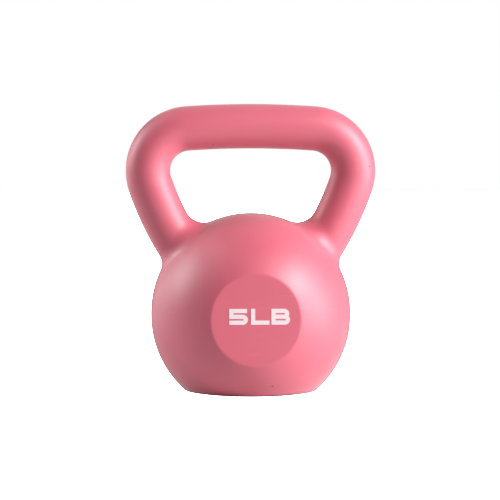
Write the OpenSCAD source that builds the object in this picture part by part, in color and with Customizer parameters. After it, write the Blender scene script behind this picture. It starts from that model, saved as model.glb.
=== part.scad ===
// Kettlebell, 5 lb: a moulded plastic shell filled with cement round a bent steel handle rod.
// Millimetres. Z is up, X runs along the handle, Y is front to back with the front facet at -Y.
// The origin is on the resting plane, under the centre of the ball.

/* [Ball] */
// Diameter of the ball at its widest
ball_d = 126.4; // [106:0.4:152]
// Height of the ball's widest ring above the resting plane
centre_h = 48.2; // [40:0.2:56]
// How far the centre of the ball's upper half stands above that of its lower half
band_h = 1.6; // [0.4:0.1:4]
// How much taller the ball's upper half is than a true hemisphere
crown_k = 1; // [1:0.002:1.08]
// Distance from the ball's centre to each flat facet
facet_off = 56.8; // [48:0.2:60]

/* [Handle] */
// Overall width across the handle
handle_w = 158.8; // [132:0.4:186]
// Thickness of the round grip
grip_d = 28.2; // [24:0.2:34]
// Height of the finger window over the top of the ball
window_h = 41.2; // [35:0.2:58]
// Radius of the slight arch of the grip, on its centre line
arch_r = 582; // [480:1:900]
// Radius of the two upper corners, on the centre line
corner_r = 26.8; // [24:0.2:33]
// Inward lean of the legs where they leave the corners, in degrees
leg_lean = 19; // [14:0.5:24]
// Radius of the legs' slow inward curve, on the centre line
leg_r = 187; // [155:1:400]
// Radius of the blend from leg to ball on the outer side
blend_out = 10.5; // [6:0.5:13]
// Radius of the blend from leg to ball on the window side
blend_in = 13; // [8:0.5:14.5]

/* [Shell] */
// Wall of the moulded shell
wall = 2.6; // [2.2:0.1:3.2]
// Width of the tongue along the weld between the two halves
tongue_w = 1; // [0.8:0.1:1.2]
// Height of the tongue along the weld
tongue_h = 1.4; // [1:0.1:2]
// Width of the posts that hold the rod
post_w = 6; // [5:0.5:8]
// Thickness of the posts that hold the rod
post_t = 2.4; // [2:0.1:3]

/* [Filler and base] */
// Bore of the filler neck in the base
neck_bore = 36; // [28:0.5:44]
// Height of the filler neck inside the ball
neck_h = 12; // [10:0.5:15]
// Mean diameter of the non-slip ring
ring_d = 69; // [66:0.5:72]
// Width of the non-slip ring
ring_w = 6; // [4:0.5:8]
// How far the ring stands below the shell
ring_proud = 0.6; // [0.4:0.1:1.2]

/* [Core] */
// Diameter of the steel handle rod
rod_d = 10; // [8:0.5:12]
// Length of the flat bar under the rod's feet
anchor_l = 76; // [70:1:84]
// Width of the flat bar under the rod's feet
anchor_w = 22; // [18:1:28]
// Thickness of the flat bar under the rod's feet
anchor_t = 5; // [4:0.5:6]

/* [Weight mark] */
// Height of the printed characters
mark_h = 9.8; // [8:0.2:12]
// Width of one printed character
mark_w = 11.4; // [9:0.2:12]
// Line width of the printed characters
mark_line = 2.6; // [1.6:0.1:2.6]
// Thickness of the printed ink
ink_t = 0.15; // [0.1:0.05:0.3]

/* [Hidden] */

shell_pink = [0.88, 0.46, 0.53];
cement_grey = [0.62, 0.61, 0.58];
steel_grey = [0.55, 0.57, 0.60];
plug_pink = [0.80, 0.40, 0.47];
ring_dark = [0.16, 0.16, 0.17];
ink_white = [0.97, 0.95, 0.95];

// Ball and handle centre line, each point as [x, z]
ball_r = ball_d / 2;
grip_r = grip_d / 2;
ball_c = [0, centre_h];
crown_c = [0, centre_h + band_h];
crown_z = crown_c[1] + ball_r * crown_k;
grip_z = crown_z + window_h + grip_r;
corner_x = handle_w / 2 - grip_r - corner_r;
arch_turn = asin(corner_x / (arch_r - corner_r));
leg_turn = 90 + leg_lean;
arch_c = [0, grip_z - arch_r];
corner_c = arch_c + (arch_r - corner_r) * out_dir(arch_turn);
leg_c = corner_c - (leg_r - corner_r) * out_dir(leg_turn);

// The crown's own radius along the leg, where the blend is struck from
root_tilt = 40;
root_r = crown_reach([cos(root_tilt), 0, sin(root_tilt)], 0);

// Rings of the handle: along the grip, round the corner, down the leg, over the blend
arch_rings = 3;
corner_rings = 16;
leg_rings = 4;
rod_leg_rings = 8;
blend_rings = 6;
skin_sides = 48;
core_sides = 24;
rod_sides = 20;
// How far the blend's last ring lies under the ball's surface, so that the two cross
blend_sink = 0.05;

// Seats, clearances and heights
base_z = ring_proud;
floor_wall = wall + 0.6;
facet_edge = 0.8;
base_edge = 1;
weld_gap = 0.1;
tongue_in = (wall - tongue_w) / 2;
rod_gap = 0.1;
rod_r = rod_d / 2;
post_reach = grip_r - wall / 2;
neck_wall = 2.4;
flange_lip = 3;
flange_t = 1.6;
plug_wall = 2;
plug_gap = 0.1;
plug_h = neck_h - 2;
ring_seat = 2;
round_n = 96;
ball_n = 144;
over = 1;
wide = 3 * (handle_w + ball_d);
anchor_top = centre_h + ball_r * 0.31;

// Lettering: its place from the facet's centre, gaps, and the heights of the middle lines
mark_x = 2.2;
mark_z = 3;
mark_gap = 1.2;
mark_space = 1.9;
mark_length = 3 * mark_w + mark_gap + mark_space;
mark_mid = (mark_h - mark_line) / 2;
mark_step = 0.5;

// ---- directions and surfaces ----

// Outward direction from the centre line after turning a degrees
function out_dir(a) = [sin(a), cos(a)];

// A point from a flat [x, z] place and its y
function lift(p, y) = [p[0], y, p[1]];

function unit(v) = v / norm(v);

function flip(p) = [-p[0], p[1], p[2]];

// Distance from the crown's centre to the skin of the ball's upper half, inset by s, along the unit
// direction d
function crown_reach(d, s) = let (across = ball_r - s, up = ball_r * crown_k - s)
    1 / sqrt((d[0] * d[0] + d[1] * d[1]) / (across * across) + d[2] * d[2] / (up * up));

// Point on the skin of the ball's upper half along the unit direction d
function crown_point(d, s) = lift(crown_c, 0) + crown_reach(d, s) * d;

// Outward normal of the skin of the ball's upper half along the unit direction d
function crown_normal(d, s) = let (across = ball_r - s, up = ball_r * crown_k - s)
    unit([d[0] / (across * across), d[1] / (across * across), d[2] / (up * up)]);

// Blend radius at f degrees round the leg, 0 being the outer side
function blend_r(f) = (blend_out + blend_in) / 2 + (blend_out - blend_in) / 2 * cos(f);

// Turn of the leg's centre line at which the blend begins, at f degrees round the leg
function root_turn(f) = let (
        off = grip_r + blend_r(f),
        swing = leg_r + off * cos(f),
        side = off * sin(f),
        span = root_r + blend_r(f),
        v = leg_c - crown_c,
        d = norm(v))
    atan2(v[0], v[1])
        + acos((span * span - side * side - d * d - swing * swing) / (2 * d * swing));

// Point on the tube round an arc of the centre line
function tube_point(c, r, a, f, s) = let (t = grip_r - s)
    lift(c + (r + t * cos(f)) * out_dir(a), t * sin(f));

// Direction from the crown's centre to where the blend lands on the ball
function root_dir(f) = let (off = grip_r + blend_r(f), a = root_turn(f))
    unit(lift(leg_c + (leg_r + off * cos(f)) * out_dir(a), off * sin(f)) - lift(crown_c, 0));

// Point k of the blend, a curve tangent to the leg at one end and to the ball at the other
function blend_point(k, f, s) = let (
        a = root_turn(f),
        d = root_dir(f),
        p = tube_point(leg_c, leg_r, a, f, s),
        q = crown_point(d, s + blend_sink),
        n = crown_normal(d, s),
        along = [cos(a), 0, -sin(a)],
        away = unit((q - p) - ((q - p) * n) * n),
        bend = acos(along * away),
        h = 4 / 3 * tan(bend / 4) * norm(q - p) / (2 * sin(bend / 2)),
        t = k / blend_rings,
        u = 1 - t)
    u * u * u * p + 3 * u * u * t * (p + h * along) + 3 * u * t * t * (q - h * away) + t * t * t * q;

corner_at = arch_rings;
leg_at = corner_at + corner_rings;
blend_at = leg_at + leg_rings;
last_ring = blend_at + blend_rings;

// Point of the handle's right half: ring i from the grip's middle, f degrees round, inset by s
function right_point(i, f, s) =
    i <= corner_at ? tube_point(arch_c, arch_r, arch_turn * i / arch_rings, f, s)
    : i <= leg_at ? tube_point(corner_c, corner_r,
        arch_turn + (leg_turn - arch_turn) * (i - corner_at) / corner_rings, f, s)
    : i <= blend_at ? tube_point(leg_c, leg_r,
        leg_turn + (root_turn(f) - leg_turn) * (i - leg_at) / leg_rings, f, s)
    : blend_point(i - blend_at, f, s);

// Point of the whole handle, ring i counting from the left foot at -last_ring to the right one
function handle_point(i, f, s) = i < 0 ? flip(right_point(-i, f, s)) : right_point(i, f, s);

// Place on the leg's centre line well inside the ball, where the handle's ends close
foot_tip = lift(leg_c + leg_r * out_dir(root_turn(90) + 5), 0);

// ---- shared solids ----

// The ball's flat profile, inset by s, its centre at the origin and its axis upright
module ball_profile(s) {
    across = ball_r - s;
    intersection() {
        union() {
            circle(across, $fn = ball_n);
            intersection() {
                translate([0, band_h]) scale([1, (ball_r * crown_k - s) / across])
                    circle(across, $fn = ball_n);
                translate([-wide / 2, 0]) square([wide, wide / 2]);
            }
        }
        square_right(wide);
    }
}

// The half plane right of the axis
module square_right(w) {
    translate([0, -w / 2]) square([w / 2, w]);
}

// The solid that cuts both facets, inset by s, with a soft edge round each
module facet_cut(s) {
    flat_r = sqrt(ball_r * ball_r - facet_off * facet_off) - facet_edge;
    y = facet_off - s;
    back = (ball_d - flat_r) * tan(acos(facet_off / ball_r) / 2);
    translate([0, 0, centre_h]) rotate([90, 0, 0]) rotate_extrude($fn = ball_n)
        polygon([[0, -y], [flat_r, -y], [ball_d, back - y], [ball_d, y - back], [flat_r, y], [0, y]]);
}

// The ball, inset by s, cut level at height z with a soft edge of width e, and with both facets
module ball(s, z, e) {
    cut = z - centre_h;
    rim = sqrt((ball_r - s) * (ball_r - s) - cut * cut) - e;
    rise = e * tan(acos(-cut / (ball_r - s)) / 2);
    intersection() {
        translate([0, 0, centre_h]) rotate_extrude($fn = ball_n) intersection() {
            ball_profile(s);
            polygon([[0, cut], [rim, cut], [rim + ball_d * e, cut + ball_d * rise], [0, 2 * ball_d]]);
        }
        facet_cut(s);
    }
}

// The handle down to where it blends into the ball, inset by s, with the given sides
// Its front and back are each other's mirror image, so the two shell halves fit the same cement
module handle(s, sides) {
    rings = 2 * last_ring + 1;
    ring_points = [for (i = [-last_ring : last_ring], j = [0 : sides - 1])
        handle_point(i, 360 * j / sides, s)];
    ends = [flip(foot_tip), foot_tip];
    count = rings * sides;
    skin = [for (i = [0 : rings - 2], j = [0 : sides - 1]) let (
            p = i * sides + j,
            q = i * sides + (j + 1) % sides)
        each j < sides / 2 ? [[p, q, q + sides], [p, q + sides, p + sides]]
            : [[p, q, p + sides], [q, q + sides, p + sides]]];
    caps = [for (j = [0 : sides - 1]) let (
            q = (j + 1) % sides,
            far = (rings - 1) * sides) each [[count, q, j], [far + j, far + q, count + 1]]];
    polyhedron(concat(ring_points, ends), concat(skin, caps), convexity = 6);
}

// Ball and handle in one, inset by s
module body(s, sides, z, e) {
    union() {
        ball(s, z, e);
        handle(s, sides);
    }
}

// A block that keeps what lies from y0 to y1, above z
module keep(y0, y1, z) {
    translate([-wide / 2, y0, z]) cube([wide, y1 - y0, wide]);
}

// The flat outline of ball and handle in the weld plane, inset by s
module outline(s) {
    translate(ball_c) union() {
        ball_profile(s);
        mirror([1, 0]) ball_profile(s);
    }
    difference() {
        polygon([for (i = [-last_ring : last_ring]) let (p = handle_point(i, 0, s)) [p[0], p[2]]]);
        polygon([for (i = [-last_ring : last_ring]) let (p = handle_point(i, 180, s)) [p[0], p[2]]]);
    }
}

// The band of the outline from inset s0 to inset s1, cut off at the base and raised to +Y by h
module weld_band(s0, s1, h) {
    intersection() {
        translate([0, h, 0]) rotate([90, 0, 0]) linear_extrude(h) difference() {
            outline(s0);
            outline(s1);
        }
        keep(-over, h + over, base_z + tongue_in);
    }
}

// The rod's swept bar, cut level at its feet
module rod_bar(r) {
    foot_turn = acos((anchor_top - rod_d - leg_c[1]) / leg_r);
    turns = concat(
        [for (i = [0 : arch_rings]) [arch_c, arch_r, arch_turn * i / arch_rings]],
        [for (i = [1 : corner_rings]) [corner_c, corner_r,
            arch_turn + (leg_turn - arch_turn) * i / corner_rings]],
        [for (i = [1 : rod_leg_rings]) [leg_c, leg_r,
            leg_turn + (foot_turn - leg_turn) * i / rod_leg_rings]]);
    last = len(turns) - 1;
    rings = 2 * last + 1;
    points = [for (i = [-last : last], j = [0 : rod_sides - 1]) let (
            t = turns[abs(i)],
            f = 360 * j / rod_sides,
            p = lift(t[0] + (t[1] + r * cos(f)) * out_dir(t[2]), r * sin(f)))
        i < 0 ? flip(p) : p];
    sides = [for (i = [0 : rings - 2], j = [0 : rod_sides - 1]) let (
            j2 = (j + 1) % rod_sides,
            p = i * rod_sides + j,
            q = i * rod_sides + j2) each [[p, q, q + rod_sides], [p, q + rod_sides, p + rod_sides]]];
    ends = [[for (j = [rod_sides - 1 : -1 : 0]) j],
        [for (j = [0 : rod_sides - 1]) (rings - 1) * rod_sides + j]];
    intersection() {
        polyhedron(points, concat(sides, ends), convexity = 4);
        keep(-wide / 2, wide / 2, anchor_top);
    }
}

// Posts from the shell at the grip's middle and part way down each leg, towards +Y, with a round
// notch of radius r for the rod
module rod_posts(r) {
    low = (leg_turn + root_turn(90)) / 2;
    spots = [[arch_c, arch_r, 0], [leg_c, leg_r, low]];
    for (t = spots, side = [-1, 1]) {
        p = t[0] + t[1] * out_dir(t[2]);
        if (side > 0 || t[2] > 0) translate([side * p[0], 0, p[1]]) rotate([0, side * t[2], 0])
            difference() {
                translate([-post_t / 2, weld_gap, -post_w / 2])
                    cube([post_t, post_reach - weld_gap, post_w]);
                rotate([0, 90, 0]) cylinder(r = r, h = 2 * post_t, center = true, $fn = round_n);
            }
    }
}

// One plain half of the shell, towards +Y
module half_shell() {
    difference() {
        union() {
            difference() {
                intersection() {
                    body(0, skin_sides, base_z, base_edge);
                    keep(0, wide, 0);
                }
                body(wall, core_sides, base_z + floor_wall, over);
            }
            intersection() {
                translate([0, 0, base_z + floor_wall / 2]) cylinder(d = neck_bore + 2 * neck_wall,
                    h = neck_h - floor_wall / 2, $fn = round_n);
                keep(0, wide, 0);
            }
            rod_posts(rod_r + rod_gap);
        }
        translate([0, 0, base_z - over]) cylinder(d = neck_bore, h = neck_h + 2 * over, $fn = round_n);
        translate([0, 0, base_z - over]) cylinder(d = neck_bore + 2 * flange_lip, h = flange_t + over,
            $fn = round_n);
        ring_groove();
    }
}

// The seat of the non-slip ring
module ring_groove() {
    translate([0, 0, base_z - over]) difference() {
        cylinder(d = ring_d + ring_w, h = ring_seat + over, $fn = round_n);
        translate([0, 0, -over]) cylinder(d = ring_d - ring_w, h = ring_seat + 3 * over, $fn = round_n);
    }
}

// A flat bar of the lettering from x0 to x1 at height y
module bar(x0, x1, y) {
    translate([x0, y]) square([x1 - x0, mark_line]);
}

// A flat upright of the lettering from y0 to y1 at place x
module upright(x, y0, y1) {
    translate([x, y0]) square([mark_line, y1 - y0]);
}

// A flat half ring of the lettering, open to the left, from y0 to y1 with its outer edge at x
module bowl(x, y0, y1) {
    r = (y1 - y0) / 2;
    translate([x - r, y0 + r]) difference() {
        circle(r, $fn = round_n);
        circle(r - mark_line, $fn = round_n);
        translate([-r - over, -r - over]) square([r + over, 2 * (r + over)]);
    }
}

// The digit's flat shape, its lower left corner at the origin
module digit_five() {
    r = (mark_mid + mark_line) / 2;
    bar(0, mark_w - mark_step, mark_h - mark_line);
    upright(0, mark_mid, mark_h);
    bar(0, mark_w - r, mark_mid);
    bar(0, mark_w - r, 0);
    bowl(mark_w, 0, mark_mid + mark_line);
}

// The first letter's flat shape
module letter_l() {
    upright(0, 0, mark_h);
    bar(0, mark_w, 0);
}

// The second letter's flat shape
module letter_b() {
    r = (mark_mid + mark_line) / 2;
    upright(0, 0, mark_h);
    bar(0, mark_w - mark_step - r, mark_h - mark_line);
    bar(0, mark_w - r, mark_mid);
    bar(0, mark_w - r, 0);
    bowl(mark_w - mark_step, mark_mid, mark_h);
    bowl(mark_w, 0, mark_mid + mark_line);
}

// ---- nodes ----

// Front half, with the tongue that runs round the weld
module front_shell() {
    color(shell_pink) union() {
        mirror([0, 1, 0]) half_shell();
        weld_band(tongue_in, tongue_in + tongue_w, tongue_h);
    }
}

// Rear half, with the groove for the tongue
module rear_shell() {
    color(shell_pink) difference() {
        half_shell();
        translate([0, -weld_gap, 0]) weld_band(tongue_in - weld_gap, tongue_in + tongue_w + weld_gap,
            tongue_h + 2 * weld_gap);
    }
}

// Cement cast into the shell round the rod and its anchor
module cement_fill() {
    color(cement_grey) difference() {
        body(wall, core_sides, base_z + floor_wall, over);
        rod_bar(rod_r);
        rod_anchor();
        rod_posts(rod_r - over);
        mirror([0, 1, 0]) rod_posts(rod_r - over);
        cylinder(d = neck_bore + 2 * neck_wall, h = base_z + neck_h, $fn = round_n);
    }
}

// Steel rod bent through the handle, its feet cut level
module handle_rod() {
    color(steel_grey) rod_bar(rod_r);
}

// Flat bar welded under the rod's feet
module rod_anchor() {
    color(steel_grey) translate([-anchor_l / 2, -anchor_w / 2, anchor_top - anchor_t])
        cube([anchor_l, anchor_w, anchor_t]);
}

// Press-in plug that closes the filler neck
module filler_plug() {
    color(plug_pink) translate([0, 0, base_z]) rotate_extrude($fn = round_n) difference() {
        union() {
            square([neck_bore / 2 + flange_lip - plug_gap, flange_t]);
            square([neck_bore / 2 - plug_gap / 2, plug_h]);
        }
        translate([0, plug_wall]) square([neck_bore / 2 - plug_wall, plug_h]);
    }
}

// Non-slip ring the kettlebell stands on
module base_ring() {
    color(ring_dark) rotate_extrude($fn = round_n)
        translate([(ring_d - ring_w) / 2, 0]) square([ring_w, ring_proud + ring_seat]);
}

// Printed weight, a plain 5 LB in even lines on the front facet
module weight_mark() {
    color(ink_white) translate([mark_x, -facet_off, centre_h + mark_z]) rotate([90, 0, 0])
        linear_extrude(ink_t) translate([-mark_length / 2, -mark_h / 2]) {
            digit_five();
            translate([mark_w + mark_space, 0]) letter_l();
            translate([2 * mark_w + mark_space + mark_gap, 0]) letter_b();
        }
}

front_shell();
rear_shell();
cement_fill();
handle_rod();
rod_anchor();
filler_plug();
base_ring();
weight_mark();
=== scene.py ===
"""Looks for a small round kettlebell: a moulded plastic shell over a cement core."""

import logging
import math
from collections.abc import Callable
from dataclasses import dataclass, field
from enum import Enum

import bmesh
import bpy
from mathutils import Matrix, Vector


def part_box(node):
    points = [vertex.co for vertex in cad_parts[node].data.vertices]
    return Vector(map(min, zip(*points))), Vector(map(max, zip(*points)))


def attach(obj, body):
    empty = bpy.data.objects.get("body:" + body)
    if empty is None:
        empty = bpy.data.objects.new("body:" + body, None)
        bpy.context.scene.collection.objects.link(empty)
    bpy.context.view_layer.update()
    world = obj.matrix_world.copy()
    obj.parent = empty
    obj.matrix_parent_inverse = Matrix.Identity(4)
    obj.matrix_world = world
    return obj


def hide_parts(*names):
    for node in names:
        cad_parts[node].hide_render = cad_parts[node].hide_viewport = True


log = logging.getLogger("kettlebell")

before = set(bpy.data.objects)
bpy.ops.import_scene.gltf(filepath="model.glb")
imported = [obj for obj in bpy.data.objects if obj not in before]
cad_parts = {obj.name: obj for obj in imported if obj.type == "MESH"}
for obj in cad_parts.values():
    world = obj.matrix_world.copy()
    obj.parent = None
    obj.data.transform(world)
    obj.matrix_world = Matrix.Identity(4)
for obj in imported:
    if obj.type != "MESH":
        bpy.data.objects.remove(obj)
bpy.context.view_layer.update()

MM = 0.001
# Points closer than this, in millimetres, are one point
TOUCH = 0.002
# How close crowded rings stand at an edge, as a share of their even spacing
CLOSE = 0.35
# An angle, in radians, that counts as none
TINY = 1e-6
# Divisions of the turn in the plug with its seat, and in the ring with its groove
PLUG_STEPS = 96
RING_STEPS = 128
Number = float | int
Triple = tuple[float, float, float]


# ---------------------------------------------------------------- shader kit


class Sock:
    """A shader socket that takes part in Python expressions."""

    def __init__(self, kit: "ShaderKit", socket: bpy.types.NodeSocket) -> None:
        self.kit = kit
        self.socket = socket

    def _pair(self, operation: str, left: "Sock | Number", right: "Sock | Number") -> "Sock":
        """Adds a Math node on two values and gives its output."""
        return self.kit.node("ShaderNodeMath", {"operation": operation}, {0: left, 1: right})

    def __add__(self, other: "Sock | Number") -> "Sock":
        """The sum."""
        return self._pair("ADD", self, other)

    __radd__ = __add__

    def __mul__(self, other: "Sock | Number") -> "Sock":
        """The product."""
        return self._pair("MULTIPLY", self, other)

    __rmul__ = __mul__

    def __sub__(self, other: "Sock | Number") -> "Sock":
        """The difference."""
        return self._pair("SUBTRACT", self, other)

    def __rsub__(self, other: "Sock | Number") -> "Sock":
        """The difference, this socket being taken away."""
        return self._pair("SUBTRACT", other, self)

    def least(self, other: "Sock | Number") -> "Sock":
        """The smaller of the two."""
        return self._pair("MINIMUM", self, other)

    def most(self, other: "Sock | Number") -> "Sock":
        """The larger of the two."""
        return self._pair("MAXIMUM", self, other)


class ShaderKit:
    """Builds one material's node tree."""

    sharp: float = 0.002

    def __init__(self, name: str) -> None:
        """Starts an empty tree with a shader and an output."""
        self.material = bpy.data.materials.new(name)
        self.material.use_nodes = True
        self.tree = self.material.node_tree
        self.tree.nodes.clear()
        self.shader = self.tree.nodes.new("ShaderNodeBsdfPrincipled")
        output = self.tree.nodes.new("ShaderNodeOutputMaterial")
        self.tree.links.new(self.shader.outputs["BSDF"], output.inputs["Surface"])
        place = self.tree.nodes.new("ShaderNodeTexCoord")
        self.place = Sock(self, place.outputs["Object"])

    def node(self, kind: str, settings: dict | None = None, inputs: dict | None = None,
             out: int | str = 0) -> Sock:
        """Adds any node.

        Args:
            kind: The node's type name.
            settings: Its properties, set first; "stops" fills a ramp.
            inputs: Values or links for its sockets, by name or number.
            out: The output to give back.

        Returns:
            The chosen output.
        """
        made = self.tree.nodes.new(kind)
        for key, value in (settings or {}).items():
            if key == "stops":
                self._fill_ramp(made, value)
            else:
                setattr(made, key, value)
        for key, value in (inputs or {}).items():
            self._feed(made.inputs[key], value)
        return Sock(self, made.outputs[out])

    def _fill_ramp(self, made: bpy.types.Node, stops: list[tuple[float, float]]) -> None:
        """Sets a colour ramp's stops.

        Args:
            made: The ramp's node.
            stops: Each stop's place and grey value.
        """
        ramp = made.color_ramp
        while len(ramp.elements) < len(stops):
            ramp.elements.new(0.5)
        for element, (place, tone) in zip(ramp.elements, stops):
            element.position = place
            element.color = (tone, tone, tone, 1.0)

    def _feed(self, socket: bpy.types.NodeSocket, value: "Sock | Number | tuple") -> None:
        """Links a socket or sets its value.

        Args:
            socket: The socket to fill.
            value: A link's start, or the value itself.
        """
        if isinstance(value, Sock):
            self.tree.links.new(value.socket, socket)
        else:
            socket.default_value = value

    def noise(self, scale: float, detail: float = 2.0, rough: float = 0.5,
              stretch: Triple = (1.0, 1.0, 1.0)) -> Sock:
        """Noise on the object's own coordinates.

        Args:
            scale: Waves in a metre.
            detail: Finer layers that are added.
            rough: Strength of the finer layers.
            stretch: Scale along each axis.

        Returns:
            A value about 0.5 on average.
        """
        place = self.node("ShaderNodeMapping", inputs={"Vector": self.place, "Scale": stretch})
        return self.node("ShaderNodeTexNoise", inputs={
            "Vector": place, "Scale": scale, "Detail": detail, "Roughness": rough}, out="Fac")

    def specks(self, scale: float, radius: float, keep: float, seed: float = 0.0) -> Sock:
        """A mask of scattered round specks.

        Args:
            scale: Cells in a metre.
            radius: Size of a speck, as a share of a cell.
            keep: Share of the cells that hold one.
            seed: Shifts the pattern.

        Returns:
            1 inside a speck and 0 outside.
        """
        place = self.node("ShaderNodeMapping", inputs={
            "Vector": self.place, "Location": (seed, 2.0 * seed, -seed)})
        cell = self.tree.nodes.new("ShaderNodeTexVoronoi")
        self._feed(cell.inputs["Vector"], place)
        cell.inputs["Scale"].default_value = scale
        near = Sock(self, cell.outputs["Distance"])
        pick = self.node("ShaderNodeSeparateColor", inputs={0: Sock(self, cell.outputs["Color"])})
        chosen = self.ramp(pick, [(keep, 1.0), (keep + self.sharp, 0.0)])
        return self.ramp(near, [(radius * 0.5, 1.0), (radius, 0.0)]) * chosen

    def spot(self, place: Triple, radius: float) -> Sock:
        """A mask of one soft round spot.

        Args:
            place: Its centre, in metres on the object's own coordinates.
            radius: Its radius in metres.

        Returns:
            1 at the middle and 0 outside.
        """
        away = self.node("ShaderNodeVectorMath", {"operation": "DISTANCE"},
                         {0: self.place, 1: place}, out="Value")
        return self.ramp(away * (0.5 / radius), [(0.2, 1.0), (0.5, 0.0)])

    def ramp(self, value: Sock, stops: list[tuple[float, float]]) -> Sock:
        """Maps a value through a ramp."""
        return self.node("ShaderNodeValToRGB", {"stops": stops}, {0: value})

    def blend(self, factor: "Sock | Number", low: "Sock | tuple", high: "Sock | tuple") -> Sock:
        """Mixes two colours.

        Args:
            factor: Share of the second one.
            low: The first colour.
            high: The second colour.

        Returns:
            The mixed colour.
        """
        made = self.tree.nodes.new("ShaderNodeMix")
        made.data_type = "RGBA"
        colours = [s for s in made.inputs if s.type == "RGBA"]
        self._feed(made.inputs["Factor"], factor)
        self._feed(colours[0], (*low, 1.0) if isinstance(low, tuple) else low)
        self._feed(colours[1], (*high, 1.0) if isinstance(high, tuple) else high)
        return Sock(self, [s for s in made.outputs if s.type == "RGBA"][0])

    def relief(self, height: Sock, depth: float, below: Sock | None = None) -> Sock:
        """Adds a Bump node.

        Args:
            height: The relief's height, from 0 to 1.
            depth: Its depth in metres.
            below: A coarser relief that it lies on.

        Returns:
            The bent normal.
        """
        inputs: dict = {"Height": height, "Distance": depth, "Strength": 1.0}
        if below is not None:
            inputs["Normal"] = below
        return self.node("ShaderNodeBump", inputs=inputs)

    def finish(self, constants: dict, varying: dict) -> bpy.types.Material:
        """Fills the shader's sockets and gives the material.

        Args:
            constants: Socket values that are the same all over.
            varying: Sockets that an expression drives.

        Returns:
            The finished material.
        """
        for key, value in constants.items():
            self.shader.inputs[key].default_value = value
        for key, value in varying.items():
            self._feed(self.shader.inputs[key], value)
        return self.material


# ---------------------------------------------------------------- finishes

Colour = Triple


@dataclass(frozen=True)
class MouldedPlastic:
    """Satin polyethylene with faint mould grain, clouding, rare dark specks and light scuffs."""

    name: str = "shell_plastic"
    pink: Colour = (0.780, 0.128, 0.195)
    pale: Colour = (0.820, 0.152, 0.223)
    speck: Colour = (0.16, 0.02, 0.03)
    roughness: float = 0.48
    rubbed: Colour = (0.86, 0.42, 0.47)
    nicks: tuple[tuple[Triple, float], ...] = (
        ((0.0107, -0.0470, 0.0074), 0.0008),
        ((0.0747, -0.0104, 0.1428), 0.0006),
        ((-0.0240, -0.0087, 0.1567), 0.0005),
    )

    def build(self) -> bpy.types.Material:
        """Makes the material."""
        kit = ShaderKit(self.name)
        cloud = kit.ramp(kit.noise(14.0, 3.0, 0.55), [(0.32, 0.0), (0.70, 1.0)])
        pits = kit.specks(34.0, 0.022, 0.16, 0.31)
        for place, radius in self.nicks:
            pits = pits.most(kit.spot(place, radius))
        dust = kit.specks(150.0, 0.035, 0.05, 1.7)
        scuff = kit.ramp(kit.noise(60.0, 6.0, 0.62, (1.0, 1.0, 5.0)), [(0.60, 0.0), (0.72, 1.0)])
        scratch = kit.ramp(kit.noise(38.0, 2.0, 0.5, (0.6, 0.6, 14.0)), [(0.66, 0.0), (0.70, 1.0)])
        tone = kit.blend(cloud, self.pink, self.pale)
        tone = kit.blend(scuff * 0.10, tone, self.rubbed)
        tone = kit.blend((pits + dust * 0.45).least(1.0), tone, self.speck)
        surface = kit.relief(kit.noise(330.0, 2.0, 0.5), 0.000012)
        surface = kit.relief(kit.noise(900.0, 3.0, 0.6), 0.000012, surface)
        surface = kit.relief(kit.noise(2600.0, 2.0, 0.6), 0.0000055, surface)
        surface = kit.relief(1.0 - pits, 0.00018, surface)
        rough = self.roughness + 0.05 * cloud + 0.06 * scuff - 0.05 * scratch + 0.3 * pits
        return kit.finish(
            {"IOR": 1.5, "Specular IOR Level": 1.0, "Sheen Weight": 0.35, "Sheen Roughness": 0.5},
            {"Base Color": tone, "Roughness": rough, "Normal": surface},
        )


@dataclass(frozen=True)
class PrintedInk:
    """Screen-printed white ink, slightly uneven where it took on the plastic."""

    name: str = "white_ink"
    white: Colour = (1.0, 0.87, 0.89)
    thin: Colour = (1.0, 0.74, 0.78)

    def build(self) -> bpy.types.Material:
        """Makes the material."""
        kit = ShaderKit(self.name)
        patch = kit.ramp(kit.noise(420.0, 4.0, 0.6), [(0.52, 0.0), (0.78, 1.0)])
        grain = kit.noise(2600.0, 2.0, 0.6)
        return kit.finish(
            {"IOR": 1.5},
            {
                "Base Color": kit.blend(patch * 0.35, self.white, self.thin),
                "Roughness": 0.42 + 0.14 * patch,
                "Normal": kit.relief(grain, 0.000006),
            },
        )


@dataclass(frozen=True)
class SoftRubber:
    """Dull dark rubber with a fine matt grain and dust."""

    name: str = "ring_rubber"
    black: Colour = (0.022, 0.021, 0.022)
    dusty: Colour = (0.11, 0.10, 0.10)

    def build(self) -> bpy.types.Material:
        """Makes the material."""
        kit = ShaderKit(self.name)
        dust = kit.ramp(kit.noise(90.0, 6.0, 0.65), [(0.48, 0.0), (0.75, 1.0)])
        grain = kit.noise(1500.0, 3.0, 0.7)
        return kit.finish(
            {"IOR": 1.52},
            {
                "Base Color": kit.blend(dust * 0.6, self.black, self.dusty),
                "Roughness": 0.74 + 0.16 * dust,
                "Normal": kit.relief(grain, 0.00003),
            },
        )


@dataclass(frozen=True)
class CastCement:
    """Grey cement with sand grains and small air holes, darkened inside with painted shade."""

    name: str = "cement"
    grey: Colour = (0.30, 0.29, 0.27)
    light: Colour = (0.47, 0.45, 0.42)
    # Painted shade: the dark colour laid inside the air holes
    hole_shade: Colour = (0.12, 0.115, 0.11)

    def build(self) -> bpy.types.Material:
        """Makes the material."""
        kit = ShaderKit(self.name)
        cloud = kit.noise(40.0, 6.0, 0.65)
        sand = kit.noise(900.0, 3.0, 0.7)
        holes = kit.specks(160.0, 0.16, 0.35, 0.7)
        tone = kit.blend(kit.ramp(cloud * 0.6 + sand * 0.4, [(0.36, 0.0), (0.66, 1.0)]),
                         self.grey, self.light)
        surface = kit.relief(1.0 - holes, 0.0008, kit.relief(sand, 0.00025))
        return kit.finish(
            {"IOR": 1.45},
            # The air holes take the painted shade colour on top of their sunk bump
            {"Base Color": kit.blend(holes, tone, self.hole_shade),
             "Roughness": 0.85 + 0.1 * sand, "Normal": surface},
        )


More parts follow.
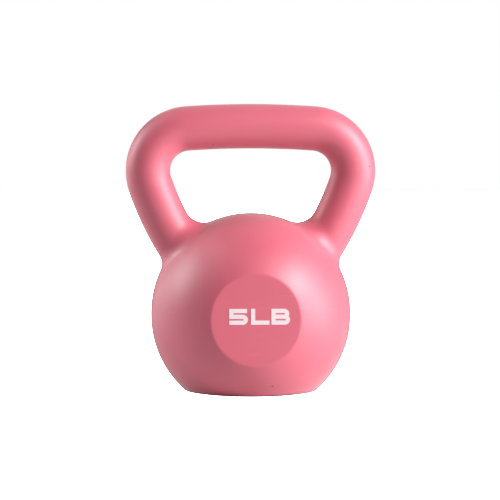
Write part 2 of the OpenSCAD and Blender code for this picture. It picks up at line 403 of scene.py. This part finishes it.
@dataclass(frozen=True)
class MillSteel:
    """Bare hot-rolled steel with mill scale and a little rust."""

    name: str = "mill_steel"
    scale: Colour = (0.16, 0.165, 0.175)
    bright: Colour = (0.48, 0.48, 0.49)
    rust: Colour = (0.26, 0.11, 0.045)

    def build(self) -> bpy.types.Material:
        """Makes the material."""
        kit = ShaderKit(self.name)
        worn = kit.ramp(kit.noise(120.0, 6.0, 0.65), [(0.50, 0.0), (0.66, 1.0)])
        rusty = kit.ramp(kit.noise(70.0, 5.0, 0.7), [(0.58, 0.0), (0.74, 1.0)])
        tone = kit.blend(worn, self.scale, self.bright)
        tone = kit.blend(rusty * 0.8, tone, self.rust)
        return kit.finish(
            {"IOR": 1.5},
            {
                "Base Color": tone,
                "Metallic": 1.0 - rusty * 0.9,
                "Roughness": 0.42 + 0.35 * rusty,
                "Normal": kit.relief(kit.noise(700.0, 4.0, 0.6), 0.00006),
            },
        )


@dataclass(frozen=True)
class PaleSweep:
    """The plain pale floor."""

    name: str = "pale_floor"
    white: Colour = (0.65, 0.65, 0.655)
    alpha: float = 1.0
    shade: Colour = (0.60, 0.60, 0.605)

    def build(self) -> bpy.types.Material:
        """Makes the material."""
        kit = ShaderKit(self.name)
        faint = kit.noise(9.0, 2.0, 0.5)
        tone = kit.blend(faint * 0.04, self.white, self.shade)
        return kit.finish({"IOR": 1.4, "Alpha": self.alpha},
                          {"Base Color": tone, "Roughness": 0.6 + 0.05 * faint})


class Finish(Enum):
    """The finishes by the record's material slots, and the floor's."""

    SHELL = ("shell", MouldedPlastic())
    PLUG = ("plug", MouldedPlastic("plug_plastic", (0.60, 0.105, 0.150), (0.65, 0.125, 0.170),
                                   (0.16, 0.02, 0.03), 0.52))
    INK = ("ink", PrintedInk())
    RING = ("ring", SoftRubber())
    CEMENT = ("cement", CastCement())
    STEEL = ("steel", MillSteel())
    FLOOR = ("", PaleSweep())
    VEIL = ("", PaleSweep("pale_veil", (0.86, 0.86, 0.865), 0.15))

    def material(self) -> bpy.types.Material:
        """The finish's material, made on first use."""
        kind = self.value[1]
        return bpy.data.materials.get(kind.name) or kind.build()

    def dress(self, piece: bpy.types.Object) -> None:
        """Gives a piece this material alone.

        Args:
            piece: The piece to dress.
        """
        piece.data.materials.clear()
        piece.data.materials.append(self.material())


# ---------------------------------------------------------------- bench tools


class Bench:
    """The hand operations that every piece is made with."""

    @staticmethod
    def clear() -> None:
        """Leaves edit mode and deselects everything."""
        if bpy.context.object and bpy.context.object.mode != "OBJECT":
            bpy.ops.object.mode_set(mode="OBJECT")
        bpy.ops.object.select_all(action="DESELECT")

    @staticmethod
    def take(piece: bpy.types.Object) -> None:
        """Makes a piece the only selected and active one.

        Args:
            piece: The piece to pick.
        """
        Bench.clear()
        piece.select_set(True)
        bpy.context.view_layer.objects.active = piece

    @staticmethod
    def named(name: str) -> bpy.types.Object:
        """Names the object that was just added and its mesh.

        Args:
            name: The new name.

        Returns:
            The object.
        """
        piece = bpy.context.object
        piece.name = piece.data.name = name
        return piece

    @staticmethod
    def modify(piece: bpy.types.Object, kind: str, **settings: object) -> None:
        """Adds a modifier and applies it.

        Args:
            piece: The piece to change.
            kind: The modifier's type.
            **settings: The modifier's own settings.
        """
        Bench.take(piece)
        modifier = piece.modifiers.new(kind.lower(), kind)
        for key, value in settings.items():
            setattr(modifier, key, value)
        bpy.ops.object.modifier_apply(modifier=modifier.name)

    @staticmethod
    def cut(piece: bpy.types.Object, cutter: bpy.types.Object) -> None:
        """Cuts a piece with another solid and takes that one away."""
        Bench.modify(piece, "BOOLEAN", operation="DIFFERENCE", object=cutter, solver="MANIFOLD")
        bpy.data.objects.remove(cutter)

    @staticmethod
    def smooth(piece: bpy.types.Object, angle: float) -> None:
        """Shades a piece smooth, up to an angle in degrees."""
        Bench.take(piece)
        bpy.ops.object.shade_smooth_by_angle(angle=math.radians(angle))

    @staticmethod
    def select_edges(piece: bpy.types.Object,
                     wanted: Callable[[bmesh.types.BMEdge], bool]) -> None:
        """Selects, in edit mode, only the edges that a test picks.

        Args:
            piece: The piece being edited.
            wanted: The test.
        """
        bpy.ops.mesh.select_mode(type="EDGE")
        bpy.ops.mesh.select_all(action="DESELECT")
        mesh = bmesh.from_edit_mesh(piece.data)
        for edge in mesh.edges:
            if wanted(edge):
                edge.select_set(True)
        bmesh.update_edit_mesh(piece.data)

    @staticmethod
    def turned(name: str, outline: list[tuple[float, float]], steps: int) -> bpy.types.Object:
        """Spins a closed outline round the upright axis, as a lathe would.

        Args:
            name: The new object's name.
            outline: Corners as (radius, height) in millimetres, anticlockwise with the axis left.
            steps: Divisions of the turn.

        Returns:
            The closed solid.
        """
        Bench.clear()
        bpy.ops.mesh.primitive_circle_add(vertices=len(outline), radius=MM)
        piece = Bench.named(name)
        for corner, (radius, height) in zip(piece.data.vertices, outline):
            corner.co = (radius * MM, 0.0, height * MM)
        Bench.take(piece)
        bpy.ops.object.mode_set(mode="EDIT")
        bpy.ops.mesh.select_all(action="SELECT")
        bpy.ops.mesh.spin(steps=steps, angle=math.tau, center=(0, 0, 0), axis=(0, 0, 1))
        bpy.ops.mesh.select_all(action="SELECT")
        bpy.ops.mesh.remove_doubles(threshold=TOUCH * MM)
        bpy.ops.mesh.dissolve_degenerate(threshold=TOUCH * MM)
        bpy.ops.mesh.select_all(action="SELECT")
        bpy.ops.mesh.normals_make_consistent(inside=False)
        bpy.ops.object.mode_set(mode="OBJECT")
        return piece


# ---------------------------------------------------------------- the body's form


@dataclass(frozen=True)
class Form:
    """The surface that ball, blends and handle share, in millimetres.

    The surface is one closed band. It runs along the grip, round a corner, down a leg, over the
    blend and round the ball to the middle plane, and back the same way on the other side.
    """

    ball_r: float = 63.2
    centre_h: float = 48.2
    band_h: float = 1.6
    facet_off: float = 56.0
    base_z: float = 0.6
    grip_r: float = 14.1
    handle_w: float = 158.8
    window_h: float = 41.2
    arch_r: float = 582.0
    corner_r: float = 26.8
    leg_lean: float = 19.0
    leg_r: float = 187.0
    blend_out: float = 10.5
    blend_in: float = 13.0
    facet_soft: float = 0.35
    base_soft: float = 0.6
    tuck: float = 0.02
    facet_crowd: float = 10.0
    base_crowd: float = 9.0
    aslant: float = 0.1

    arch_rings: int = 6
    corner_rings: int = 28
    leg_rings: int = 12
    blend_rings: int = 14
    fan_rings: int = 68

    @property
    def half_rings(self) -> int:
        """Rings from the grip's middle to the ball's middle plane."""
        return (self.arch_rings + self.corner_rings + self.leg_rings + self.blend_rings
                + self.fan_rings)

    @property
    def leg_turn(self) -> float:
        """Turn of the centre line where a leg starts, in radians."""
        return math.radians(90.0 + self.leg_lean)

    @property
    def arch_turn(self) -> float:
        """Turn of the centre line where a corner starts, in radians."""
        corner_x = self.handle_w / 2 - self.grip_r - self.corner_r
        return math.asin(corner_x / (self.arch_r - self.corner_r))

    @property
    def arch_c(self) -> Vector:
        """Centre of the grip's arch."""
        top = self.centre_h + self.band_h + self.ball_r + self.window_h + self.grip_r
        return Vector((0.0, 0.0, top - self.arch_r))

    @property
    def corner_c(self) -> Vector:
        """Centre of the right corner's bend."""
        return self.arch_c + (self.arch_r - self.corner_r) * self.out(self.arch_turn)

    @property
    def leg_c(self) -> Vector:
        """Centre of the right leg's slow curve."""
        return self.corner_c - (self.leg_r - self.corner_r) * self.out(self.leg_turn)

    @property
    def ball_c(self) -> Vector:
        """Centre of the ball."""
        return Vector((0.0, 0.0, self.centre_h))

    @staticmethod
    def out(turn: float) -> Vector:
        """Outward direction from the centre line after a turn."""
        return Vector((math.sin(turn), 0.0, math.cos(turn)))

    def tube(self, centre: Vector, radius: float, turn: float, f: float) -> Vector:
        """Point on the handle's tube.

        Args:
            centre: Centre of the centre line's arc.
            radius: Radius of that arc.
            turn: How far along the arc, in radians.
            f: Angle round the tube from its outer side, in radians.

        Returns:
            The point.
        """
        t = self.grip_r - self.tuck
        return (centre + (radius + t * math.cos(f)) * self.out(turn)
                + Vector((0.0, t * math.sin(f), 0.0)))

    def reach(self, d: Vector) -> float:
        """Distance from the ball's centre to its skin, facets and base.

        Args:
            d: The unit direction.

        Returns:
            The distance in millimetres.
        """
        far = self.ball_r / self.aslant
        facet = (self.facet_off - self.tuck) / abs(d.y) if abs(d.y) > self.aslant else far
        level = (self.centre_h - self.base_z - self.tuck) / -d.z if d.z < -self.aslant else far
        return soft_min(soft_min(self.skin(d), facet, self.facet_soft), level, self.base_soft)

    def skin(self, d: Vector) -> float:
        """Distance from the ball's centre to its round skin, which has a short upright band.

        Args:
            d: The unit direction.

        Returns:
            The distance in millimetres.
        """
        r = self.ball_r - self.tuck
        flat = math.hypot(d.x, d.y)
        if d.z <= 0.0:
            return r
        if flat * self.band_h > r * d.z:
            return r / flat
        return d.z * self.band_h + math.sqrt(r * r - (flat * self.band_h)**2)

    def normal(self, d: Vector) -> Vector:
        """Outward normal of the round skin's upper half along a unit direction."""
        return (self.skin(d) * d - Vector((0.0, 0.0, self.band_h))).normalized()

    def blend_r(self, f: float) -> float:
        """Radius of the blend between leg and ball, f radians round the leg."""
        return ((self.blend_out + self.blend_in) / 2
                + (self.blend_out - self.blend_in) / 2 * math.cos(f))

    def root(self, f: float) -> tuple[float, Vector]:
        """Where the blend starts and lands, f radians round the leg.

        Args:
            f: Angle round the leg from its outer side.

        Returns:
            The leg's turn where the blend starts, and the direction in which it meets the ball.
        """
        crown = self.ball_c + Vector((0.0, 0.0, self.band_h))
        off = self.grip_r + self.blend_r(f)
        swing = self.leg_r + off * math.cos(f)
        side = off * math.sin(f)
        span = self.ball_r + self.blend_r(f)
        v = self.leg_c - crown
        gap = v.length
        turn = math.atan2(v.x, v.z) + math.acos(
            (span**2 - side**2 - gap**2 - swing**2) / (2 * gap * swing))
        ball = self.leg_c + swing * self.out(turn) + Vector((0.0, side, 0.0)) - crown
        landing = crown + self.ball_r * ball.normalized() - self.ball_c
        return turn, landing.normalized()

    def blend_point(self, t: float, f: float, turn: float, d: Vector) -> Vector:
        """Point on the blend, which is tangent to leg and ball.

        Args:
            t: Share of the way from leg to ball.
            f: Angle round the leg from its outer side.
            turn: The leg's turn where the blend starts.
            d: Direction in which it meets the ball.

        Returns:
            The point.
        """
        p = self.tube(self.leg_c, self.leg_r, turn, f)
        q = self.ball_c + self.reach(d) * d
        n = self.normal(d)
        along = Vector((math.cos(turn), 0.0, -math.sin(turn)))
        away = ((q - p) - (q - p).dot(n) * n).normalized()
        bend = along.angle(away)
        h = 4 / 3 * math.tan(bend / 4) * (q - p).length / (2 * math.sin(bend / 2))
        u = 1 - t
        return (u**3 * p + 3 * u * u * t * (p + h * along) + 3 * u * t * t * (q - h * away)
                + t**3 * q)

    def gather(self, d: Vector) -> Vector:
        """Draws a direction towards the nearest facet or base edge, so that rings crowd there.

        Args:
            d: The unit direction.

        Returns:
            The new unit direction.
        """
        side = Vector((0.0, math.copysign(1.0, d.y), 0.0))
        d = crowd(d, side, math.acos(self.facet_off / self.ball_r), math.radians(self.facet_crowd))
        down = Vector((0.0, 0.0, -1.0))
        return crowd(d, down, math.acos((self.centre_h - self.base_z) / self.ball_r),
                     math.radians(self.base_crowd))

    def column(self, f: float) -> list[Vector]:
        """All points of the right half at one angle round the band.

        Args:
            f: The angle in radians.

        Returns:
            The points from the grip's middle to the ball's middle plane.
        """
        turn, d = self.root(f)
        points = [self.tube(self.arch_c, self.arch_r, self.arch_turn * i / self.arch_rings, f)
                  for i in range(self.arch_rings)]
        bend = (self.leg_turn - self.arch_turn) / self.corner_rings
        points += [self.tube(self.corner_c, self.corner_r, self.arch_turn + bend * i, f)
                   for i in range(self.corner_rings)]
        fall = (turn - self.leg_turn) / self.leg_rings
        points += [self.tube(self.leg_c, self.leg_r, self.leg_turn + fall * i, f)
                   for i in range(self.leg_rings)]
        points += [self.blend_point(i / self.blend_rings, f, turn, d)
                   for i in range(self.blend_rings)]
        end = Vector((0.0, math.sin(f), -math.cos(f)))
        for i in range(self.fan_rings + 1):
            way = self.gather(d.slerp(end, i / self.fan_rings))
            points.append(self.ball_c + self.reach(way) * way)
        return points


def soft_min(a: float, b: float, k: float) -> float:
    """The smaller of two lengths, rounded over where they are nearly the same."""
    h = max(k - abs(a - b), 0.0) / k
    return min(a, b) - h * h * k / 4


def crowd(d: Vector, axis: Vector, edge: float, span: float) -> Vector:
    """Draws a direction towards a circle round an axis.

    Args:
        d: The unit direction.
        axis: The circle's axis.
        edge: The circle's angle from the axis, in radians.
        span: How far from the circle the pull reaches.

    Returns:
        The new unit direction.
    """
    angle = d.angle(axis)
    off = angle - edge
    if abs(off) >= span or angle < TINY:
        return d
    share = abs(off) / span
    new = edge + off * (CLOSE + (1.0 - CLOSE) * share * share)
    across = (d - axis * d.dot(axis)).normalized()
    return axis * math.cos(new) + across * math.sin(new)


# ---------------------------------------------------------------- pieces


@dataclass
class Shell:
    """The two moulded halves, welded in the middle plane."""

    form: Form
    wall: float = 2.6
    columns: int = 104
    weld_soft: float = 0.16
    weld_angles: tuple[float, ...] = (0.0, 0.4, 1.2)
    neck_bore: float = 36.0
    flange_lip: float = 3.0
    flange_t: float = 1.6
    ring_d: float = 69.0
    ring_w: float = 6.0
    ring_seat: float = 2.0
    below: float = 2.0
    bore_depth: float = 8.0

    def angles(self) -> list[float]:
        """Angles round the band, crowded near the weld.

        Returns:
            The angles in radians, once round.
        """
        edge = list(self.weld_angles)
        step = (180.0 - 2 * edge[-1]) / (self.columns - 4)
        half = edge[:-1] + [edge[-1] + step * i for i in range(self.columns - 3)]
        half += [180.0 - a for a in reversed(edge[1:-1])]
        return [math.radians(a) for a in half + [180.0 + a for a in half]]

    def band(self) -> bpy.types.Object:
        """The whole skin: a torus with its rings laid on the body's form.

        Returns:
            The skin's object.
        """
        angles = self.angles()
        rows = [self.form.column(f) for f in angles]
        rings = 2 * self.form.half_rings
        Bench.clear()
        bpy.ops.mesh.primitive_torus_add(major_segments=rings, minor_segments=len(angles),
                                         major_radius=0.06, minor_radius=0.014)
        piece = Bench.named("band")
        places: list[float] = []
        for i in range(rings):
            mirrored = i > self.form.half_rings
            for row in rows:
                p = row[rings - i if mirrored else i]
                places += [(-p.x if mirrored else p.x) * MM, p.y * MM, p.z * MM]
        piece.data.vertices.foreach_set("co", places)
        piece.data.update()
        return piece

    def half(self, name: str, band: bpy.types.Object, side: float) -> bpy.types.Object:
        """One half: the skin cut in the weld plane, given its wall and a soft weld edge.

        Args:
            name: The piece's name.
            band: The whole skin.
            side: -1 for the front half, 1 for the rear.

        Returns:
            The hollow half.
        """
        Bench.take(band)
        bpy.ops.object.duplicate(linked=False)
        piece = Bench.named(name)
        bpy.ops.object.mode_set(mode="EDIT")
        bpy.ops.mesh.select_all(action="SELECT")
        bpy.ops.mesh.normals_make_consistent(inside=False)
        bpy.ops.mesh.select_all(action="SELECT")
        bpy.ops.mesh.bisect(plane_co=(0, 0, 0), plane_no=(0, 1, 0), clear_outer=side < 0,
                            clear_inner=side > 0, threshold=MM * 0.001)
        bpy.ops.object.mode_set(mode="OBJECT")
        inner = piece.vertex_groups.new(name="inner")
        Bench.modify(piece, "SOLIDIFY", thickness=self.wall * MM, offset=-1.0, use_rim=True,
                     shell_vertex_group=inner.name)
        bpy.ops.object.mode_set(mode="EDIT")
        layer = bmesh.from_edit_mesh(piece.data).verts.layers.deform.verify()

        def outer_rim(edge: bmesh.types.BMEdge) -> bool:
            """Whether an edge is the rim's outer corner."""
            on_plane = all(abs(v.co.y) < TOUCH * MM for v in edge.verts)
            outside = all(v[layer].get(inner.index, 0.0) < 0.5 for v in edge.verts)
            return on_plane and outside and edge.calc_face_angle(0.0) > 1.0

        Bench.select_edges(piece, outer_rim)
        bpy.ops.mesh.bevel(offset=self.weld_soft * MM, segments=2, affect="EDGES")
        bpy.ops.object.mode_set(mode="OBJECT")
        self.cut_base(piece)
        Bench.smooth(piece, 32.0)
        return piece

    def cut_base(self, piece: bpy.types.Object) -> None:
        """Cuts the filler bore, the plug's seat and the ring's groove in the base.

        Args:
            piece: The half to cut.
        """
        z = self.form.base_z
        bore = self.neck_bore / 2
        lip = bore + self.flange_lip
        low, step, top = z - self.below, z + self.flange_t, z + self.bore_depth
        seat = [(0.0, low), (lip, low), (lip, step), (bore, step), (bore, top), (0.0, top)]
        Bench.cut(piece, Bench.turned("seat", seat, PLUG_STEPS))
        inner, outer = (self.ring_d - self.ring_w) / 2, (self.ring_d + self.ring_w) / 2
        roof = z + self.ring_seat
        groove = [(inner, low), (outer, low), (outer, roof), (inner, roof)]
        Bench.cut(piece, Bench.turned("groove", groove, RING_STEPS))

    def build(self) -> None:
        """Builds and dresses both halves."""
        band = self.band()
        halves = (("front_half", -1.0, "front_shell"), ("rear_half", 1.0, "rear_shell"))
        for name, side, node in halves:
            piece = self.half(name, band, side)
            Finish.SHELL.dress(piece)
            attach(piece, "root")
            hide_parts(node)
            log.info("%s: %d faces", name, len(piece.data.polygons))
        bpy.data.objects.remove(band)


@dataclass
class BaseRing:
    """The non-slip ring under the shell, with soft edges and two grooves in its foot."""

    mean_d: float = 69.0
    width: float = 6.0
    height: float = 2.6
    edge: float = 0.35
    groove: float = 0.7
    groove_depth: float = 0.4
    soft: float = 0.12

    def build(self) -> None:
        """Builds and dresses the ring."""
        r0 = (self.mean_d - self.width) / 2
        r1 = (self.mean_d + self.width) / 2
        gap = (self.width - 2 * self.groove) / 3
        outline = [(r0, self.height), (r0, self.edge), (r0 + self.edge, 0.0)]
        for i in range(2):
            g0 = r0 + gap * (i + 1) + self.groove * i
            outline += [(g0, 0.0), (g0, self.groove_depth), (g0 + self.groove, self.groove_depth),
                        (g0 + self.groove, 0.0)]
        outline += [(r1 - self.edge, 0.0), (r1, self.edge), (r1, self.height)]
        piece = Bench.turned("ring", outline, RING_STEPS)
        Bench.modify(piece, "BEVEL", width=self.soft * MM, segments=2, limit_method="ANGLE",
                     angle_limit=math.radians(30.0))
        Bench.smooth(piece, 40.0)
        Finish.RING.dress(piece)
        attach(piece, "root")
        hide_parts("base_ring")
        log.info("ring: %d faces", len(piece.data.polygons))


@dataclass
class FillerPlug:
    """The press-in plug: a flanged cup with a raised lip, a sunk middle and a moulding point."""

    form: Form
    bore: float = 36.0
    lip: float = 3.0
    flange_t: float = 1.6
    wall: float = 2.0
    height: float = 10.0
    gap: float = 0.1
    tuck: float = 0.02
    soft: float = 0.15
    point_r: float = 1.3
    point_foot: float = 0.3
    point_sunk: float = 0.75
    middle_r: float = 13.2
    middle_sunk: float = 0.95
    step_r: float = 13.8
    step_w: float = 0.8
    step_sunk: float = 0.5
    step_edge: float = 0.6
    chamfer: float = 0.4
    end_taper: float = 0.6
    end_round: float = 1.0
    short: float = 0.1
    floor_extra: float = 0.6

    def build(self) -> None:
        """Builds and dresses the plug."""
        z = self.form.base_z + self.tuck
        rim = self.bore / 2 + self.lip - self.gap
        skirt = self.bore / 2 - self.gap / 2
        inside = self.bore / 2 - self.wall
        step_end = self.step_r + self.step_w
        end = z + self.height - self.short
        floor = z + self.wall + self.floor_extra
        outline = [
            (0.0, z + self.point_sunk), (self.point_r, z + self.point_sunk),
            (self.point_r + self.point_foot, z + self.middle_sunk),
            (self.middle_r, z + self.middle_sunk), (self.step_r, z + self.step_sunk),
            (step_end, z + self.step_sunk), (step_end + self.step_edge, z),
            (rim - self.chamfer, z), (rim, z + self.chamfer), (rim, z + self.flange_t),
            (skirt, z + self.flange_t), (skirt, z + self.height - self.end_round),
            (skirt - self.end_taper, end), (inside, end), (inside, floor), (0.0, floor),
        ]
        piece = Bench.turned("plug", outline, PLUG_STEPS)
        Bench.modify(piece, "BEVEL", width=self.soft * MM, segments=2, limit_method="ANGLE",
                     angle_limit=math.radians(25.0))
        Bench.smooth(piece, 40.0)
        Finish.PLUG.dress(piece)
        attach(piece, "root")
        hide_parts("filler_plug")
        log.info("plug: %d faces", len(piece.data.polygons))


class CarriedNodes:
    """The CAD nodes that show, or are hidden inside, as they are."""

    finishes = {
        "cement_fill": Finish.CEMENT,
        "handle_rod": Finish.STEEL,
        "rod_anchor": Finish.STEEL,
        "weight_mark": Finish.INK,
    }

    def build(self) -> None:
        """Dresses each carried node."""
        for name, finish in self.finishes.items():
            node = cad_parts[name]
            node.data.materials.clear()
            node.data.materials.append(finish.material())
            log.info("%s: carried over", name)


# ---------------------------------------------------------------- studio


@dataclass(frozen=True)
class Softbox:
    """One square area light on a sphere round the kettlebell, aimed at its middle."""

    name: str
    round: float
    up: float
    power: float
    size: float = 0.45
    away: float = 1.5
    aim: Triple = (0.0, 0.0, 0.09)

    def build(self) -> None:
        """Adds the light, its place given by degrees round from the front and up from level."""
        turn, rise = math.radians(self.round), math.radians(self.up)
        level = math.cos(rise)
        arm = Vector((math.sin(turn) * level, -math.cos(turn) * level, math.sin(rise)))
        data = bpy.data.lights.new(self.name, "AREA")
        data.shape = "SQUARE"
        data.size = self.size
        data.energy = self.power
        lamp = bpy.data.objects.new(self.name, data)
        bpy.context.collection.objects.link(lamp)
        lamp.location = Vector(self.aim) + arm * self.away
        lamp.rotation_euler = (-arm).to_track_quat("-Z", "Y").to_euler()


@dataclass
class Studio:
    """The pale floor, the lights, the sky and the camera."""

    floor_size: float = 12.0
    gap: float = 0.0005
    sky: float = 0.0
    lens: float = 169.0
    eye: Triple = (-0.086, -1.49, 0.1582)
    target: Triple = (-0.00045, 0.0, 0.0896)
    film: float = 36.0
    lights: list[Softbox] = field(default_factory=lambda: [
        Softbox("key_right", 60.0, 30.0, 21.2),
        Softbox("key_front", 40.0, 30.0, 3.9),
        Softbox("key_low", 60.0, 5.0, 2.8),
        Softbox("side_low", 80.0, 5.0, 8.6),
        Softbox("rim_left", -106.0, 26.0, 13.0, 0.7),
        Softbox("rim_low", -110.0, 5.0, 1.2),
        Softbox("rim_back", -140.0, 5.0, 2.0),
        Softbox("top_left", -80.0, 60.0, 1.4),
    ])

    def floor(self) -> None:
        """Lays the floor: a pale sheet that only lights the piece, under a thin one that is seen."""
        sheets = (("floor", -self.gap, Finish.FLOOR), ("floor_veil", 0.0, Finish.VEIL))
        for name, height, finish in sheets:
            Bench.clear()
            bpy.ops.mesh.primitive_plane_add(size=self.floor_size)
            piece = Bench.named(name)
            for corner in piece.data.vertices:
                corner.co.z = height
            piece.data.materials.append(finish.material())
            piece.visible_camera = finish is Finish.VEIL
            piece.is_shadow_catcher = finish is Finish.VEIL

    def world(self) -> None:
        """Sets a white backdrop that the camera sees, and the sky's own light on the piece."""
        world = bpy.data.worlds.new("backdrop")
        world.use_nodes = True
        tree = world.node_tree
        back = tree.nodes["Background"]
        back.inputs["Color"].default_value = (1.0, 1.0, 1.0, 1.0)
        path = tree.nodes.new("ShaderNodeLightPath")
        level = tree.nodes.new("ShaderNodeMapRange")
        level.inputs["To Min"].default_value = self.sky
        level.inputs["To Max"].default_value = 1.0
        tree.links.new(path.outputs["Is Camera Ray"], level.inputs["Value"])
        tree.links.new(level.outputs["Result"], back.inputs["Strength"])
        bpy.context.scene.world = world
        bpy.context.scene.view_settings.view_transform = "Standard"

    def camera(self) -> None:
        """Places the camera."""
        data = bpy.data.cameras.new("camera")
        data.lens = self.lens
        data.sensor_width = self.film
        eye = bpy.data.objects.new("camera", data)
        bpy.context.collection.objects.link(eye)
        eye.location = self.eye
        gaze = Vector(self.target) - Vector(self.eye)
        eye.rotation_euler = gaze.to_track_quat("-Z", "Y").to_euler()
        bpy.context.scene.camera = eye

    def build(self) -> None:
        """Builds the studio."""
        self.floor()
        self.world()
        self.camera()
        for light in self.lights:
            light.build()


def read_form() -> Form:
    """Takes the overall sizes from the frame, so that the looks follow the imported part.

    Returns:
        The body's form.
    """
    low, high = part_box("front_shell")
    width = round((high[0] - low[0]) / MM, 1)
    return Form(handle_w=width, facet_off=-low[1] / MM, base_z=low[2] / MM)


def main() -> None:
    """Builds every piece and the studio."""
    logging.basicConfig(level=logging.INFO, format="%(name)s %(message)s")
    form = read_form()
    Shell(form).build()
    BaseRing().build()
    FillerPlug(form).build()
    CarriedNodes().build()
    Studio().build()


if __name__ == "__main__":
    main()
